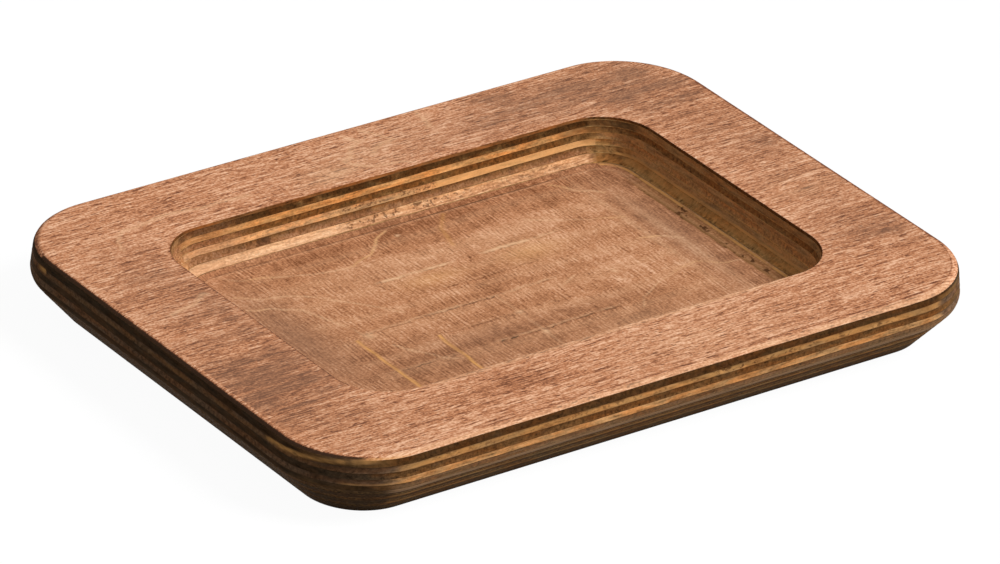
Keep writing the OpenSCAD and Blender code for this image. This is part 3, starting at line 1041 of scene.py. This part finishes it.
def wood(name, kind, seed, tints):
    """Stained wood whose colour follows how the grain was cut, with fibres, pores and torn spots."""
    material = bpy.data.materials.new(name)
    tree = Tree(material)
    tree.sway(GRAIN_SWAY)
    cut = tree.add("SeparateXYZ", {0: tree.add("Attribute", attribute_name="cut").outputs["Vector"]}).outputs
    marked = tree.add("Attribute", attribute_name="marks").outputs
    marks = [*tree.add("SeparateXYZ", {0: marked["Vector"]}).outputs, marked["Alpha"]]
    tear = tree.add("Attribute", attribute_name="tear").outputs["Fac"]
    noises = wood_noises(tree, kind == "cross", seed)
    if kind == "cross":
        noises.update(routed_noises(tree, cut, seed))
    colours = [tinted(colour, tint) for colour, tint in zip(WALL_COLOURS[kind], tints)]
    wall = wall_colour(tree, colours, noises, cut, marks[DARK])
    colour = tree.mix(cut[1], wall, flat_colour(tree, kind, noises, marks))
    pale = tree.math("MULTIPLY", marks[PALE], tree.math("ADD", 0.4, noises["speckle"]), True)
    pulled = tree.math("MULTIPLY", tear, tree.math("MULTIPLY", noises["strokes"], 0.8))
    for share, mark in ((pale, PALE_MARK), (marks[GOLD], GOLD_MARK), (pulled, TORN_MARK)):
        colour = tree.mix(share, colour, mark)
    relief = tree.tone(noises, BUMP_WEIGHTS)
    bump = tree.add("Bump", {
        "Height": relief, "Strength": BUMP_STRENGTH, "Distance": BUMP_HEIGHT * MM}).outputs[0]
    shader = tree.add("BsdfPrincipled", {
        "Base Color": colour, "Roughness": ROUGHNESS, "Normal": bump, "Specular IOR Level": SPECULAR})
    tree.add("OutputMaterial", {0: shader.outputs[0]})
    return material


# Seed of the resin, beyond those of the veneers
RESIN_SEED = 90


def make_board():
    """Every veneer and resin line, in the place of its node."""
    resin = wood("resin", "glue", RESIN_SEED, UNTINTED)
    for index, layer in enumerate(LAYERS):
        kind = kind_of(layer)
        number = index // 2 + 1
        name = f"resin_{number:02d}" if kind == "glue" else f"veneer_{number:02d}_{kind}"
        if LEVELS[index + 1] < RECESS_DEPTH:
            piece = make_frame_layer(name, layer)
        elif LEVELS[index] < RECESS_DEPTH:
            piece = make_floor_layer(name, layer)
        else:
            piece = make_plate_layer(name, layer)
        tints = TINTS.get(layer, UNTINTED)
        piece.data.materials.append(resin if kind == "glue" else wood("wood_" + name, kind, number, tints))
        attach(piece, "root")
        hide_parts(layer)


# Camera at the photograph's viewing angle
CAMERA_YAW = math.radians(-36.8474)
CAMERA_RISE = math.radians(28.2230)
CAMERA_ROLL = math.radians(2.9978)
CAMERA_DISTANCE = 2118.67
CAMERA_LENS = 324.0
AIM_RIGHT = 1.442
AIM_UP = 8.328


def make_camera():
    """The camera, aimed a little above the origin so that the object sits as in the photograph."""
    back = Vector((math.sin(CAMERA_YAW) * math.cos(CAMERA_RISE),
                   -math.cos(CAMERA_YAW) * math.cos(CAMERA_RISE), math.sin(CAMERA_RISE)))
    level = Vector((math.cos(CAMERA_YAW), math.sin(CAMERA_YAW), 0))
    upright = back.cross(level)
    right = math.cos(CAMERA_ROLL) * level + math.sin(CAMERA_ROLL) * upright
    up = math.cos(CAMERA_ROLL) * upright - math.sin(CAMERA_ROLL) * level
    place = CAMERA_DISTANCE * back
    depth = (place - AIM_RIGHT * right - AIM_UP * up).normalized()
    side = up.cross(depth).normalized()
    turn = Matrix((side, depth.cross(side), depth)).transposed()
    data = bpy.data.cameras.new("camera")
    data.lens = CAMERA_LENS
    camera = add_object("camera", data)
    camera.matrix_world = Matrix.Translation(place * MM) @ turn.to_4x4()
    bpy.context.scene.camera = camera


# Light: where the lamp stands, how strong and broad it is, and the fill from all round
WHITE = (1, 1, 1, 1)
KEY_FROM = Vector((0.5, -0.5, 0.707))
KEY_STRENGTH = 3.25
KEY_ANGLE = math.radians(25)
FILL_STRENGTH = 0.25


def backdrop(tree, thrown, shown):
    """A shader that is shown to camera, glossy and transmission rays, and one that throws light."""
    path = tree.add("LightPath").outputs
    seen = tree.math("MAXIMUM", path["Is Camera Ray"], path["Is Glossy Ray"])
    seen = tree.math("MAXIMUM", seen, path["Is Transmission Ray"])
    return tree.add("MixShader", {0: seen, 1: thrown, 2: shown}).outputs[0]


def make_light():
    """One broad soft lamp from the front right, and an even fill behind a white background."""
    data = bpy.data.lights.new("key", "SUN")
    data.energy = KEY_STRENGTH
    data.angle = KEY_ANGLE
    lamp = add_object("key", data)
    lamp.matrix_world = KEY_FROM.to_track_quat("Z", "Y").to_matrix().to_4x4()
    world = bpy.data.worlds.new("studio")
    bpy.context.scene.world = world
    tree = Tree(world)
    white, fill = (tree.add("Background", {"Color": WHITE, "Strength": strength}).outputs[0]
                   for strength in (1.0, FILL_STRENGTH))
    tree.add("OutputWorld", {0: backdrop(tree, fill, white)})


# Floor: its size in metres and how far it lies below the board, its look and the light it throws back
FLOOR_SIZE = 30.0
FLOOR_DROP = 0.05
FLOOR_SHOWN = (0.06, 0.06, 0.06, 1)
FLOOR_GLOW = 0.955
FLOOR_BOUNCE = (0.22, 0.21, 0.20, 1)


def make_floor():
    """A pale floor that looks white, keeps a faint shadow and throws little light back."""
    half, z = FLOOR_SIZE / 2, -FLOOR_DROP * MM
    corners = [(-half, -half, z), (half, -half, z), (half, half, z), (-half, half, z)]
    mesh = bpy.data.meshes.new("floor")
    mesh.from_pydata(corners, [], [(0, 1, 2, 3)])
    floor = add_object("floor", mesh)
    material = bpy.data.materials.new("pale_floor")
    tree = Tree(material)
    lit = tree.add("BsdfDiffuse", {"Color": FLOOR_SHOWN}).outputs[0]
    glow = tree.add("Emission", {"Color": WHITE, "Strength": FLOOR_GLOW}).outputs[0]
    shown = tree.add("AddShader", {0: lit, 1: glow}).outputs[0]
    bounce = tree.add("BsdfDiffuse", {"Color": FLOOR_BOUNCE}).outputs[0]
    tree.add("OutputMaterial", {0: backdrop(tree, bounce, shown)})
    mesh.materials.append(material)


make_camera()
make_board()
make_light()
make_floor()
bpy.context.scene.view_settings.view_transform = "Standard"
